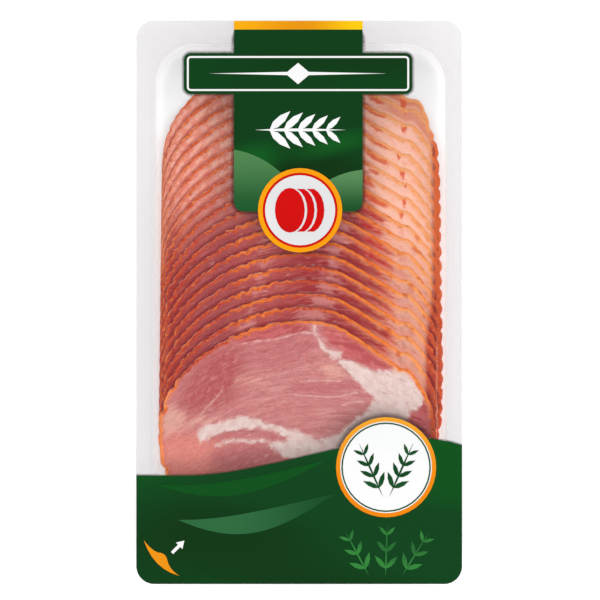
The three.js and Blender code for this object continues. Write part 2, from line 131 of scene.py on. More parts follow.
def mesh_object(name, points, faces, smooth=True):
    """A mesh piece from points in millimetres."""
    mesh = bpy.data.meshes.new(name)
    mesh.from_pydata((np.asarray(points, float) * MM).tolist(), [], faces)
    mesh.polygons.foreach_set("use_smooth", [smooth] * len(mesh.polygons))
    mesh.update()
    piece = bpy.data.objects.new(name, mesh)
    bpy.context.scene.collection.objects.link(piece)
    return piece


def smoothstep(low, high, value):
    t = np.clip((value - low) / (high - low), 0, 1)
    return t * t * (3 - 2 * t)


class Graph:
    """A material's node tree, with one Principled shader."""

    def __init__(self, name):
        self.material = bpy.data.materials.new(name)
        self.material.use_nodes = True
        self.tree = self.material.node_tree
        self.tree.nodes.clear()
        self.output = self.tree.nodes.new("ShaderNodeOutputMaterial")
        self.shader = self.tree.nodes.new("ShaderNodeBsdfPrincipled")
        self.link(self.shader.outputs[0], self.output.inputs["Surface"])

    def link(self, source, target):
        self.tree.links.new(source, target)

    def node(self, kind, inputs=None, output=0, **settings):
        """Adds a node, sets or links its inputs, and returns one of its outputs."""
        made = self.tree.nodes.new("ShaderNode" + kind)
        for key, value in settings.items():
            setattr(made, key, value)
        for key, value in (inputs or {}).items():
            self.put(made.inputs[key], value)
        return made.outputs[output]

    def put(self, target, value):
        if isinstance(value, bpy.types.NodeSocket):
            self.link(value, target)
        else:
            target.default_value = value

    def shade(self, **values):
        """Sets or links the Principled shader's inputs, with _ for a space in a name."""
        for key, value in values.items():
            self.put(self.shader.inputs[key.replace("_", " ")], value)
        return self.material

    def place(self):
        return self.node("TexCoord", output=3)

    def axis(self, number):
        """A place's X, Y or Z, in metres."""
        return self.node("SeparateXYZ", {0: self.place()}, output=number)

    def grey(self, value):
        return self.node("CombineColor", {0: value, 1: value, 2: value})

    def attribute(self, name):
        return self.node("Attribute", output=2, attribute_name=name)

    def vector_attribute(self, name):
        return self.node("Attribute", output=1, attribute_name=name)

    def math(self, operation, first, second=0.0, third=0.0):
        return self.node("Math", {0: first, 1: second, 2: third}, operation=operation)

    def times(self, first, second):
        return self.math("MULTIPLY", first, second)

    def ramp(self, value, low, high, to_low=0.0, to_high=1.0):
        """value carried smoothly from low..high to to_low..to_high, and held there."""
        inputs = {"Value": value, "From Min": low, "From Max": high, "To Min": to_low, "To Max": to_high}
        return self.node("MapRange", inputs, interpolation_type="SMOOTHSTEP")

    def mix(self, amount, first, second, blend="MIX"):
        made = self.tree.nodes.new("ShaderNodeMix")
        made.data_type = "RGBA"
        made.blend_type = blend
        self.put(made.inputs[0], amount)
        self.put(made.inputs[6], first)
        self.put(made.inputs[7], second)
        return made.outputs[2]

    def noise(self, scale, detail=3.0, roughness=0.5, stretch=(1, 1, 1), turn=(0, 0, 0), offset=(0, 0, 0),
              source=None):
        """Noise, with its scale in turns a metre before the stretch, or in turns a unit of source."""
        mapped = self.node("Mapping", {"Vector": source or self.place(), "Scale": stretch, "Rotation": turn,
                                       "Location": offset})
        inputs = {"Vector": mapped, "Scale": scale, "Detail": detail, "Roughness": roughness}
        return self.node("TexNoise", inputs)

    def jitter(self, value, noise, amount):
        """value moved up and down by a noise, whose middle is 0.5."""
        return self.math("MULTIPLY_ADD", self.math("SUBTRACT", noise, 0.5), amount, value)

    def vector_math(self, operation, first, second=(0, 0, 0), output=0):
        return self.node("VectorMath", {0: first, 1: second}, output=output, operation=operation)

    def box_distance(self, low, high, radius=0.0):
        """Millimetres from a rounded upright rectangle, given by two corners, seen from above."""
        middle = [(a + b) / 2 * MM for a, b in zip(low, high)]
        half = [((b - a) / 2 - radius) * MM for a, b in zip(low, high)]
        away = self.vector_math("ABSOLUTE", self.vector_math("SUBTRACT", self.place(), (*middle, 0)))
        away = self.vector_math("MAXIMUM", self.vector_math("SUBTRACT", away, (*half, 1)), (0, 0, 0))
        length = self.vector_math("LENGTH", away, output=1)
        return self.math("MULTIPLY_ADD", length, 1 / MM, -radius)

    def bump(self, height, strength, distance):
        normal = self.node("Bump", {"Height": height, "Strength": strength, "Distance": distance})
        self.link(normal, self.shader.inputs["Normal"])


def finish_piece(piece, material, slot_name, *replaced):
    """Gives a new piece its material and its body, and hides the CAD nodes it stands for; slot_name is not
    used.
    """
    piece.data.materials.clear()
    piece.data.materials.append(material)
    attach(piece, "root")
    if replaced:
        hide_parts(*replaced)


def dress(node_name, material):
    """Gives a CAD node that stays its detailed material."""
    slots = nodes[node_name].data.materials
    slots.clear()
    slots.append(material)


# ---------------------------------------------------------------- camera, lights and floor

def make_camera():
    width = PHOTO_PIXELS * PHOTO_SCALE
    data = bpy.data.cameras.new("camera")
    data.sensor_width = 36.0
    data.lens = data.sensor_width * CAMERA_HEIGHT / width
    data.clip_end = 20.0
    camera = bpy.data.objects.new("camera", data)
    bpy.context.scene.collection.objects.link(camera)
    middle = PHOTO_PIXELS / 2
    x = (middle - PHOTO_CENTRE[0]) * PHOTO_SCALE
    y = (PHOTO_CENTRE[1] - middle) * PHOTO_SCALE
    camera.location = (x * MM, y * MM, (CAMERA_HEIGHT + TRAY_HEIGHT) * MM)
    bpy.context.scene.camera = camera


def area_light(name, place, target, size, power):
    data = bpy.data.lights.new(name, "AREA")
    data.shape = "RECTANGLE"
    data.size, data.size_y = size
    data.energy = power
    lamp = bpy.data.objects.new(name, data)
    bpy.context.scene.collection.objects.link(lamp)
    lamp.location = place
    lamp.rotation_euler = (Vector(target) - Vector(place)).to_track_quat("-Z", "Y").to_euler()


def make_studio():
    world = bpy.data.worlds.new("studio")
    world.use_nodes = True
    background = world.node_tree.nodes["Background"]
    background.inputs["Color"].default_value = (1, 1, 1, 1)
    background.inputs["Strength"].default_value = SURROUNDING_LIGHT
    bpy.context.scene.world = world
    area_light("key", (0.85, -0.55, 0.8), (0, 0, 0), (0.45, 0.45), 3.6)
    area_light("back", (-0.7, 0.9, 0.9), (0, 0, 0), (0.25, 0.25), 1.2)
    scene = bpy.context.scene
    scene.view_settings.view_transform = "Standard"
    scene.view_settings.look = "None"
    scene.view_settings.exposure = 0.0


def make_floor():
    graph = Graph("floor_paper")
    grain = graph.noise(90, detail=2)
    shade = graph.ramp(grain, 0.3, 0.7, 0.985, 1.0)
    colour = graph.mix(1.0, (0.93, 0.93, 0.93, 1), graph.grey(shade), "MULTIPLY")
    graph.shade(Base_Color=colour, Roughness=0.9, Specular_IOR_Level=0.1,
                Emission_Color=(1, 1, 1, 1), Emission_Strength=0.33)
    sides = (-1, -1), (1, -1), (1, 1), (-1, 1)
    corners = [(x * FLOOR_REACH, y * FLOOR_REACH, -FLOOR_DROP) for x, y in sides]
    floor = mesh_object("floor", corners, [(0, 1, 2, 3)], smooth=False)
    floor.data.materials.append(graph.material)


# ---------------------------------------------------------------- tray and lid film

CORNER_STEPS = 18


def rounded_ring(half_width, half_length, radius, z, centre_x=0.0):
    points = []
    for corner, (side_x, side_y) in enumerate(((1, 1), (-1, 1), (-1, -1), (1, -1))):
        for step in range(CORNER_STEPS + 1):
            angle = (corner + step / CORNER_STEPS) * math.pi / 2
            points.append((centre_x + side_x * (half_width - radius) + radius * math.cos(angle),
                           side_y * (half_length - radius) + radius * math.sin(angle), z))
    return points


def pocket_section(offset, lip_steps=6, floor_steps=10):
    """The tray's section from flange to floor: distances outward from the mouth, and heights."""
    section = []
    lip_reach = LIP_RADIUS - offset
    lip_z = TRAY_HEIGHT - LIP_RADIUS
    for step in range(lip_steps + 1):
        angle = step / lip_steps * (math.pi / 2 - WALL_DRAFT)
        section.append((LIP_RADIUS - lip_reach * math.sin(angle), lip_z + lip_reach * math.cos(angle)))
    floor_z = TRAY_WALL + FLOOR_RADIUS
    shift = math.tan(WALL_DRAFT) * (lip_z - floor_z)
    floor_reach = FLOOR_RADIUS + offset
    for step in range(floor_steps + 1):
        angle = WALL_DRAFT + step / floor_steps * (math.pi / 2 - WALL_DRAFT)
        section.append((-shift - FLOOR_RADIUS + floor_reach * math.cos(angle),
                        floor_z - floor_reach * math.sin(angle)))
    return section


def loft(name, rings, centre_x=0.0):
    count = len(rings[0])
    points = [point for ring in rings for point in ring]
    faces = []
    for ring in range(len(rings) - 1):
        low, high = ring * count, (ring + 1) * count
        for i in range(count):
            j = (i + 1) % count
            faces.append((low + i, low + j, high + j, high + i))
    for ring, flip in ((0, True), (len(rings) - 1, False)):
        points.append((centre_x, 0, rings[ring][0][2]))
        middle = len(points) - 1
        for i in range(count):
            a, b = ring * count + i, ring * count + (i + 1) % count
            faces.append((middle, b, a) if flip else (middle, a, b))
    return mesh_object(name, points, faces)


def make_tray():
    def pocket_ring(outward, z):
        return rounded_ring(POCKET_HALF_WIDTH + outward, POCKET_HALF_LENGTH + outward,
                            POCKET_CORNER + outward, z, POCKET_CENTRE_X)

    def edge_ring(inset, z):
        return rounded_ring(PACK_WIDTH / 2 - inset, PACK_LENGTH / 2 - inset, PACK_CORNER - inset, z)

    outer = [pocket_ring(*point) for point in reversed(pocket_section(TRAY_WALL))]
    inner = [pocket_ring(*point) for point in pocket_section(0)]
    # a fine groove round the flange, where the film is welded on
    weld = [pocket_ring(3.2, TRAY_HEIGHT), pocket_ring(3.0, TRAY_HEIGHT - 0.08),
            pocket_ring(2.4, TRAY_HEIGHT - 0.08), pocket_ring(2.2, TRAY_HEIGHT)]
    under, top = TRAY_HEIGHT - TRAY_WALL, TRAY_HEIGHT
    rim = [edge_ring(0.3, under), edge_ring(0.08, under), edge_ring(0, under + 0.1),
           edge_ring(0, top - 0.1), edge_ring(0.08, top), edge_ring(0.3, top)]
    tray = loft("tray_shell", outer + rim + weld + inner, POCKET_CENTRE_X)
    graph = Graph("tray_plastic")
    haze = graph.noise(14, detail=4)
    fine = graph.noise(400, detail=2)
    # the flange, where tray and film are welded, lets less light through than the pocket
    welded = graph.ramp(graph.axis(2), (TRAY_HEIGHT - 1.4) * MM, (TRAY_HEIGHT - 0.6) * MM)
    tint = graph.mix(haze, srgb(232, 229, 231), srgb(240, 238, 240))
    tint = graph.mix(welded, tint, srgb(216, 213, 215))
    graph.shade(Base_Color=tint, Roughness=graph.ramp(fine, 0.3, 0.7, 0.2, 0.28), IOR=1.5,
                Specular_IOR_Level=0.36)
    graph.bump(haze, 0.12, 0.0006)
    see_through(graph, 0.1, 0.12, graph.times(welded, 0.4))
    finish_piece(tray, graph.material, "tray_plastic", "tray")


def see_through(graph, solid_share, edge_share, extra=None):
    """Mixes clear with the graph's shader: solid_share of it face on, and more at a slant."""
    tree = graph.tree
    clear = tree.nodes.new("ShaderNodeBsdfTransparent")
    facing = graph.node("LayerWeight", {"Blend": 0.35}, output=1)
    amount = graph.ramp(facing, 0.0, 1.0, solid_share, solid_share + edge_share)
    if extra is not None:
        amount = graph.math("MAXIMUM", amount, extra)
    mixer = tree.nodes.new("ShaderNodeMixShader")
    graph.link(amount, mixer.inputs[0])
    graph.link(clear.outputs[0], mixer.inputs[1])
    graph.link(graph.shader.outputs[0], mixer.inputs[2])
    graph.link(mixer.outputs[0], graph.output.inputs["Surface"])


def node_rectangle(node_name):
    """A node's lowest and highest X and Y, in millimetres."""
    low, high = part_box(node_name)
    return (low[0] / MM, low[1] / MM), (high[0] / MM, high[1] / MM)


def make_lid():
    low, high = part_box("lid_film")
    bottom, top = low[2] / MM, high[2] / MM
    rings = []
    for inset, z in ((0.12, bottom), (0, bottom + 0.08), (0, top - 0.08), (0.12, top)):
        rings.append(rounded_ring(PACK_WIDTH / 2 - inset, PACK_LENGTH / 2 - inset, PACK_CORNER - inset, z))
    lid = loft("lid_sheet", rings)
    lid.data.polygons.foreach_set("use_smooth", [False] * len(lid.data.polygons))
    graph = Graph("lid_film")

    # painted shade: a soft dark shade painted on the film round each printed panel
    banner = graph.box_distance(*node_rectangle("banner"), BANNER_RADIUS)
    plaque = graph.box_distance(*node_rectangle("plaque"), PLAQUE_RADIUS)
    corner, far_corner = node_rectangle("seal_ring")
    nearest = graph.box_distance(corner, far_corner, (far_corner[0] - corner[0]) / 2)
    nearest = graph.times(nearest, HALO_NARROWING["seal"])
    for name, distance in (("banner", banner), ("plaque", plaque)):
        nearest = graph.math("MINIMUM", nearest, graph.times(distance, HALO_NARROWING[name]))
    across, along = graph.axis(0), graph.axis(1)
    edge = graph.ramp(across, WAVE_START * MM, WAVE_END * MM, WAVE_LOW * MM, WAVE_HIGH * MM)
    wide_edge = node_rectangle("wide_print")[1][0]
    past = graph.math("DIVIDE", graph.math("SUBTRACT", across, WAVE_END * MM), (wide_edge - WAVE_END) * MM)
    past = graph.math("POWER", graph.math("MAXIMUM", past, 0.0), 2.0)
    edge = graph.math("MULTIPLY_ADD", past, -WAVE_FALL * MM, edge)
    above = graph.times(graph.math("SUBTRACT", along, edge), HALO_NARROWING["wide"] / MM)
    nearest = graph.math("MINIMUM", nearest, graph.math("MAXIMUM", above, 0.0))
    painted_halo_shade = graph.math("POWER", graph.ramp(nearest, HALO_WIDTH, 0.0), HALO_FALL)
    painted_halo_shade = graph.times(painted_halo_shade, HALO_STRENGTH)

    slack = graph.noise(9, detail=2, stretch=(1, 0.5, 1))
    graph.shade(Base_Color=graph.mix(graph.ramp(painted_halo_shade, 0.0, 0.08), srgb(250, 250, 252), srgb(44, 26, 26)),
                IOR=1.45, Roughness=graph.ramp(graph.noise(60), 0.3, 0.7, 0.05, 0.11))
    graph.bump(slack, 0.25, 0.002)
    see_through(graph, 0.01, 0.1, painted_halo_shade)
    finish_piece(lid, graph.material, "lid_film", "lid_film")


# ---------------------------------------------------------------- the slices' form

def superellipse(x, half_width, squareness):
    return np.clip(1 - np.abs(x / half_width) ** squareness, 0, 1) ** (1 / squareness)


def how_far_back(slice_number):
    """0 on the front slice, which lies on top, and 1 on the lowest one, at the far end."""
    return 1 - slice_number / (SLICE_COUNT - 1)


def slice_shape(slice_number):
    """A slice's half widths and the squareness of its far shoulders, left and right."""
    behind = how_far_back(slice_number)
    half_widths = np.interp(slice_number, *LEFT_ENDS), np.interp(slice_number, *RIGHT_ENDS)
    shoulders = LEFT_SQUARENESS + 0.5 * behind ** 6, RIGHT_SQUARENESS + 0.25 * behind + 0.95 * behind ** 8
    return half_widths, shoulders


def shoulder_dent(slice_number, u):
    """How far a slice's right shoulder falls short of a round one."""
    behind = how_far_back(slice_number)
    # on the lowest slices the step lies further out, and fades away
    lowest = behind ** 8
    risen = smoothstep(CHORD_RISE + 3.5 * lowest, CHORD_END + 5.5 * lowest, u)
    chord = smoothstep(CHORD_START, CHORD_DEEPEST, u) * (1 - risen)
    beyond = risen * (1 - smoothstep(STEP_FADE, SLICE_HALF_WIDTH, u)) * (1 - lowest)
    return (CHORD_DEPTH - CHORD_SOFTENS * behind + 1.7 * lowest) * chord + STEP_DEPTH * beyond


# the frills drift round from slice to slice, this much of a turn in radians
FRILL_DRIFT = 0.006
FRILL_SEED = 11


def waves(phase, count, lowest, highest, seed):
    """A sum of sine waves round a closed outline, between two numbers of waves, about 1 high."""
    draw = np.random.default_rng(seed)
    total = np.zeros_like(phase)
    for _ in range(count):
        number = draw.integers(lowest, highest + 1)
        total += np.sin(number * phase + draw.uniform(0, 2 * math.pi)) * draw.uniform(0.5, 1)
    return total / math.sqrt(count)


def scallops(phase, number, seed):
    """Round bulges with sharp notches between them, of uneven size, from about -0.6 to 0.4."""
    warped = number * phase / 2 + 1.7 * waves(phase, 5, 5, 14, seed)
    return np.abs(np.sin(warped)) ** 0.7 - 0.65


def hump(value, centre, width):
    return np.exp(-((value - centre) / width) ** 2)


def slice_outline(slice_number, count):
    """Evenly spaced points round a slice, about its own middle, with its frilled edge."""
    dense = np.linspace(0, 2 * math.pi, 4001)
    cos, sin = np.cos(dense), np.sin(dense)
    half_widths, shoulders = slice_shape(slice_number)
    power = np.where(sin < 0, NEAR_SQUARENESS, np.where(cos < 0, *shoulders))
    reach = np.where(sin < 0, SLICE_REACH_NEAR, SLICE_REACH_FAR)
    u = np.where(cos < 0, *half_widths) * np.sign(cos) * np.abs(cos) ** (2 / power)
    v = reach * np.sign(sin) * np.abs(sin) ** (2 / power)
    v -= np.where(sin > 0, shoulder_dent(slice_number, u), 0)
    walked = np.concatenate([[0], np.cumsum(np.hypot(np.diff(u), np.diff(v)))])
    even = np.linspace(0, walked[-1], count, endpoint=False)
    u, v = np.interp(even, walked, u), np.interp(even, walked, v)
    phase = even / walked[-1] * 2 * math.pi
    drift = slice_number * FRILL_DRIFT
    at_side = smoothstep(0.62, 0.9, np.abs(u) / SLICE_HALF_WIDTH)
    shared = scallops(phase + drift, 52, FRILL_SEED) + 0.35 * waves(phase + drift, 7, 20, 44, seed=12)
    own = 0.26 * waves(phase, 7, 34, 90, seed=100 + slice_number)
    fine = 0.08 * waves(phase, 8, 110, 180, seed=300 + slice_number)
    # some stretches of the edge are nearly smooth, and others frilled deeply
    strength = np.clip(0.85 + 0.8 * waves(phase + drift, 5, 3, 9, seed=13), 0.4, 1.7)
    strength = np.where(u > 56, 1.0, strength)
    frill = shared * (0.66 + 0.5 * at_side) * strength + own + fine
    # the edge is calmer on the right, where it is fat, at the left wall, and far back
    behind = how_far_back(slice_number)
    frill *= 1 - 0.6 * smoothstep(5, 30, u) * smoothstep(58.5, 55.5, u) * (v > 0)
    frill *= 1 - (0.75 if behind > 0 else 0.2) * smoothstep(-56.5, -59.4, u)
    frill *= 1 - 0.4 * smoothstep(0.45, 0.8, behind) * (u < 0)
    frill *= 1 + 0.7 * hump(u, -20, 9) * smoothstep(0.8, 0.45, behind) * (v > 0)
    # a way straight in towards the middle is longer than the way square to a slanting edge
    ahead_u, ahead_v = np.roll(u, -1) - np.roll(u, 1), np.roll(v, -1) - np.roll(v, 1)
    squareness = np.abs(u * ahead_v - v * ahead_u) / (np.hypot(u, v) * np.hypot(ahead_u, ahead_v))
    inward = 1 - (0.2 - np.clip(frill, -0.9, 0.5)) / np.hypot(u, v)
    return u * inward, v * inward, phase, squareness


def pile_height(slice_number, x, y):
    """The underside of a slice in the pile: level over the floor, then a ramp down to its edge."""
    near = WIDEST_LINE - PILE_REACH_NEAR * superellipse(x, PILE_HALF_WIDTH, PILE_SQUARENESS)
    rows = (near - y) / SLICE_PITCH
    bend = 0.6
    ended = 0.5 * ((rows - bend) + np.sqrt((rows - bend) ** 2 + bend ** 2)) - 0.04
    climb = np.clip((np.abs(x) - WALL_LIFT_START) / (SLICE_HALF_WIDTH - WALL_LIFT_START), 0, 1)
    return PILE_FLOOR + WALL_LIFT * climb ** 2 + LAYER * (slice_number - ended)


def beyond_next(slice_number, u, v):
    """Roughly how far a place on a slice lies outside the next slice, which covers the rest."""
    half_widths, shoulders = slice_shape(slice_number + 1)
    shifted = v + SLICE_PITCH + shoulder_dent(slice_number + 1, u)
    power = np.where(shifted < 0, NEAR_SQUARENESS, np.where(u < 0, *shoulders))
    reach = np.where(shifted < 0, SLICE_REACH_NEAR, SLICE_REACH_FAR)
    half_width = np.where(u < 0, *half_widths)
    size = (np.abs(u / half_width) ** power + np.abs(shifted / reach) ** power) ** (1 / power)
    slope = np.hypot(u, shifted) / np.maximum(size, 0.01)
    return (size - 1) * slope


# how far in from a slice's edge its rings of points lie: fine at the edge, coarse where covered
EDGE_RINGS = (0, 0.12, 0.3, 0.55, 0.85, 1.2, 1.6, 2.1, 2.7, 3.4, 4.2, 5.2, 6.4, 7.8, 9.5, 12, 17, 25, 35)
UNDER_RINGS = (0, 0.3, 1.2, 3.4, 7.8, 17, 30)
FRONT_RINGS = (*EDGE_RINGS[:5], *np.arange(1.25, 44.2, 0.62))
RING_REACH = 45.0


def slice_points(slice_number, edge_u, edge_v, phase, squareness, depths):
    """Points of one face of a slice, ring by ring and then its middle, and how far its top curls up."""
    share = (np.array(depths, float) / RING_REACH)[:, None]
    u = np.append((edge_u * (1 - share)).ravel(), 0.0)
    v = np.append((edge_v * (1 - share)).ravel(), 0.0)
    rim = np.append((share * np.hypot(edge_u, edge_v) * squareness).ravel(), RING_REACH)
    turn = np.append(np.tile(phase, len(depths)), 0.0)
    if slice_number == SLICE_COUNT - 1:
        bare = np.full_like(u, CLEAR)
    else:
        bare = beyond_next(slice_number, u, v)
    y = v + WIDEST_LINE - slice_number * SLICE_PITCH
    base = pile_height(slice_number, u, y)
    free = smoothstep(0.4, 4.5, bare) * smoothstep(-14, 6, v)
    curl = 0.55 + 0.45 * waves(turn + slice_number * FRILL_DRIFT, 9, 26, 60, FRILL_SEED)
    lift = free * (0.25 + 0.75 * np.clip(curl, 0, 1.6)) * np.clip(1 - rim / 5.5, 0, 1) ** 1.6
    lift = lift * (1 - 0.7 * smoothstep(12, 34, u))
    sag = 0.12 * np.sin(u * 0.11 + 1.3) * np.sin(y * 0.09)
    base = base + sag * smoothstep(2, 12, rim)
    curl_up = 0.4 * lift - 0.5 * np.clip(1 - rim / 0.9, 0, 1) ** 1.5
    return u, v, y, base, curl_up, rim, bare


def fan_faces(count, rings, first, flip):
    """Faces of one side of a slice: quads between its rings, and triangles round its middle."""
    i = np.arange(count)
    j = (i + 1) % count
    faces = []
    for ring in range(rings - 1):
        a, b = first + ring * count, first + (ring + 1) * count
        faces += np.stack([a + i, a + j, b + j, b + i], 1).tolist()
    last = first + (rings - 1) * count
    faces += np.stack([last + i, last + j, np.full(count, last + count)], 1).tolist()
    return [face[::-1] for face in faces] if flip else faces


def slice_mesh(slice_number):
    """A slice as a closed sheet, with what its material needs to know at each point."""
    front = slice_number == SLICE_COUNT - 1
    count = 640 if front else 480
    outline = slice_outline(slice_number, count)
    over_depths = FRONT_RINGS if front else EDGE_RINGS
    over = slice_points(slice_number, *outline, over_depths)
    under = slice_points(slice_number, *outline, UNDER_RINGS)
    points, values = [], []
    for is_top, (u, v, y, base, curl_up, rim, bare) in ((True, over), (False, under)):
        z = base + SLICE_THICKNESS + curl_up if is_top else base
        points.append(np.stack([u + POCKET_CENTRE_X, y, z], 1))
        values.append({"rim": rim, "bare": bare, **meat_pattern(slice_number, u, v, rim)})
    under_first = len(over[0])
    faces = fan_faces(count, len(over_depths), 0, False)
    faces += fan_faces(count, len(UNDER_RINGS), under_first, True)
    i = np.arange(count)
    j = (i + 1) % count
    faces += np.stack([under_first + i, under_first + j, j, i], 1).tolist()
    piece = mesh_object(f"meat_slice_{slice_number + 1:02d}", np.concatenate(points), faces)
    for name in values[0]:
        value = np.concatenate([side[name] for side in values]).astype(np.float32)
        flat = value.ndim == 1
        layer = piece.data.attributes.new(name, "FLOAT" if flat else "FLOAT_VECTOR", "POINT")
        layer.data.foreach_set("value" if flat else "vector", value.ravel())
    return piece


# ---------------------------------------------------------------- the meat's pattern

# Outlines of fat and lean, drawn in millimetres from the middle of a slice's widest line.
FAT_SHOULDER = [(16.2, 29.7), (23.6, 28.8), (29.8, 25.8), (38.7, 25.6), (41.8, 28.6), (49.0, 29.6),
                (53.5, 22.5), (54.6, 17.4), (53.0, 13.0), (50.6, 8.8), (47.0, 7.8), (46.4, 4.8),
                (40.0, -2.0), (26.0, -4.0), (24.4, 4.1), (27.0, 7.2), (29.4, 8.0), (29.6, 10.6),
                (31.6, 12.2), (31.2, 15.0), (28.8, 16.0), (25.5, 19.5), (20.3, 24.5)]
FAT_LOW = [(-5.9, 0.1), (0.8, -1.2), (3.6, -2.5), (5.3, -3.8), (10.4, -3.8), (16.4, -1.6), (20.8, 2.2),
           (26.0, 6.0), (30.0, 2.0), (30.0, -6.5), (22.0, -10.5), (12.0, -13.5), (0.0, -13.5), (-6.7, -12.0),
           (-9.3, -10.2), (-14.5, -5.9), (-8.8, -5.2), (-5.5, -3.6)]
FAT_CRESCENT = [(-43.0, -5.2), (-44.7, -3.6), (-44.5, -1.4), (-42.6, 0.8), (-39.6, 2.2), (-34.7, 2.9),
                (-30.4, 4.5), (-26.1, 5.6), (-22.0, 4.6), (-19.2, 4.8), (-15.3, 2.8), (-11.0, 1.8),
                (-4.6, -0.3), (-6.7, -3.1), (-11.0, -1.1), (-16.4, 0.4), (-22.8, 0.4), (-30.4, -0.5),
                (-36.8, -2.6), (-40.5, -4.6)]
FAT_SEAM = [(4.6, 46.6), (7.6, 46.6), (8.3, 41.7), (10.9, 36.6), (13.9, 34.9), (17.3, 34.4), (18.2, 31.4),
            (16.4, 29.3), (12.6, 30.6), (9.6, 33.6), (6.6, 38.3), (4.0, 42.2)]
FAT_LINE = [(-36.5, -7.0), (-32.8, -5.7), (-29.0, -4.6), (-25.3, -4.7), (-22.0, -5.5),
            (-18.3, -4.9), (-14.1, -5.4), (-10.6, -8.1)]
LEAN_TOP = [(-29.5, 38.3), (-24.8, 41.3), (-18.3, 43.9), (-7.6, 46.5), (1.0, 45.6), (3.1, 42.6),
            (-4.6, 40.5), (-13.2, 38.7), (-21.8, 37.4)]
LEAN_RIGHT = [(9.1, 43.9), (14.7, 44.7), (20.7, 42.6), (27.6, 38.7), (33.6, 34.0), (39.6, 29.7),
              (41.8, 27.6), (38.3, 25.9), (32.8, 25.4), (27.6, 27.6), (22.0, 30.1), (18.6, 31.0),
              (16.9, 34.4), (13.9, 35.7), (10.9, 38.3)]
LEAN_WEDGE = [(52.6, 17.0), (58.2, 14.5), (60.8, 4.0), (60.4, -5.0), (48.0, -5.0), (46.2, 2.5), (46.6, 6.2),
              (50.3, 8.6), (52.2, 12.6)]
LEAN_LEFT = [(-44.0, 24.0), (-36.0, 33.0), (-27.0, 33.0), (-27.0, 24.0), (-33.0, 14.0), (-43.0, 10.0),
             (-50.0, 12.0)]
# muscles of a deeper pink inside the front slice
MUSCLES = [
    [(-25, 33), (-18, 37), (-6, 39.5), (4, 38.5), (6, 34), (0, 29.5), (-10, 28), (-20, 29)],
    [(-4, 18.5), (6, 20.3), (18, 20.2), (24, 18.5), (21, 16.2), (8, 15.4), (-2, 15.8)],
    [(-37, -10), (-30, -7), (-22, -6.2), (-14, -7), (-10, -12), (-18, -17), (-30, -18), (-38, -15)],
    [(-40, -3.4), (-31, -1.4), (-22, -0.8), (-12, -2.4), (-8, -4.0), (-12, -4.6), (-22, -2.8), (-33, -3.8)],
]
PALE_PATCHES = [
    [(-60.4, 8.6), (-56.1, 9.6), (-51.8, 8.2), (-49.3, 4.8), (-51.8, 0.1), (-56.1, -2.5), (-60.4, -2.5)],
    [(8.3, 27.0), (13.0, 28.2), (16.5, 26.4), (18.0, 23.6), (11.0, 23.4)],
    [(-27.6, 21.6), (-22.5, 22.9), (-17.8, 21.6), (-22.5, 20.7)],
]
PALE_BAND = [(-51.4, 0.9), (-43.7, 4.4), (-42.0, 3.6), (-34.7, 3.7)]
FINE_SEAMS = [
    [(-43.0, 6.4), (-40.2, 10.0), (-37.7, 12.5), (-34.4, 16.2), (-33.6, 18.6)],
    [(-2.4, 14.9), (4.0, 14.7), (10.4, 14.1), (17.1, 14.4), (21.2, 15.3), (24.2, 16.0)],
    [(-0.3, 20.7), (8.3, 21.2), (16.9, 20.9)],
    [(-20.7, 38.1), (-12.3, 38.6), (-6.7, 40.0), (-0.3, 41.8), (5.7, 41.7)],
    [(18.0, 10.5), (22.0, 11.8), (27.0, 12.0)],
]
# lines of painted shade, along creases in the meat
SHADED_CREASES = [
    [(-7.5, 38.9), (-0.3, 41.1), (3.2, 41.2)],
    [(16.2, 28.3), (19.4, 25.4), (23.6, 21.8)],
    [(-38.5, -3.6), (-34.0, -1.6), (-27.0, -0.6), (-19.0, -0.9)],
]


def rounded_outline(points, steps=6):
    """A closed Catmull-Rom curve through a few points."""
    points = np.array(points, float)
    t = (np.arange(steps) / steps)[:, None]
    curve = []
    for i in range(len(points)):
        a, b, c, d = (points[(i + k - 1) % len(points)] for k in range(4))
        curve.append(0.5 * (2 * b + (c - a) * t + (2 * a - 5 * b + 4 * c - d) * t ** 2
                            + (3 * b - a - 3 * c + d) * t ** 3))
    return np.concatenate(curve)


def distance_to_line(u, v, points, closed=False):
    points = np.asarray(points, float)
    ends = np.roll(points, -1, axis=0) if closed else points[1:]
    starts = points if closed else points[:-1]
    nearest = np.full(u.shape, 1e9)
    for (au, av), (bu, bv) in zip(starts, ends):
        du, dv = bu - au, bv - av
        t = np.clip(((u - au) * du + (v - av) * dv) / (du * du + dv * dv), 0, 1)
        nearest = np.minimum(nearest, np.hypot(u - au - t * du, v - av - t * dv))
    return nearest


def inside_depth(u, v, points):
    """How far inside a rounded outline a place is; negative outside it."""
    outline = rounded_outline(points)
    ends = np.roll(outline, -1, axis=0)
    inside = np.zeros(u.shape, bool)
    for (au, av), (bu, bv) in zip(outline, ends):
        crosses = (av > v) != (bv > v)
        if av != bv:
            inside ^= crosses & (u < au + (v - av) * (bu - au) / (bv - av))
    distance = distance_to_line(u, v, outline, closed=True)
    return np.where(inside, distance, -distance)


def deepest(u, v, *outlines):
    """How far inside any of some outlines a place is."""
    return np.maximum.reduce([inside_depth(u, v, outline) for outline in outlines])


def from_nearest(u, v, lines):
    """How far from the nearest of some lines a place is."""
    return np.minimum.reduce([distance_to_line(u, v, line) for line in lines])


MEAT_SHEEN = 0.016
GLINT_AT = 58.7


def softplus(value):
    return np.logaddexp(0, value)


def grain_place(slice_number, u, v):
    """Where a point lies along, across and through the meat's fibres, which bend over the slice."""
    bent = 0.05 * u - 0.62 * 7 * softplus((-22 - u) / 7) - 0.4 * 6 * softplus((u - 28) / 6)
    bent += 0.28 * (u + 5) * smoothstep(22, 32, v) * hump(u, -5, 16)
    return np.stack([u + 0.2 * v, v - bent, np.full_like(u, slice_number * 1.7)], 1)


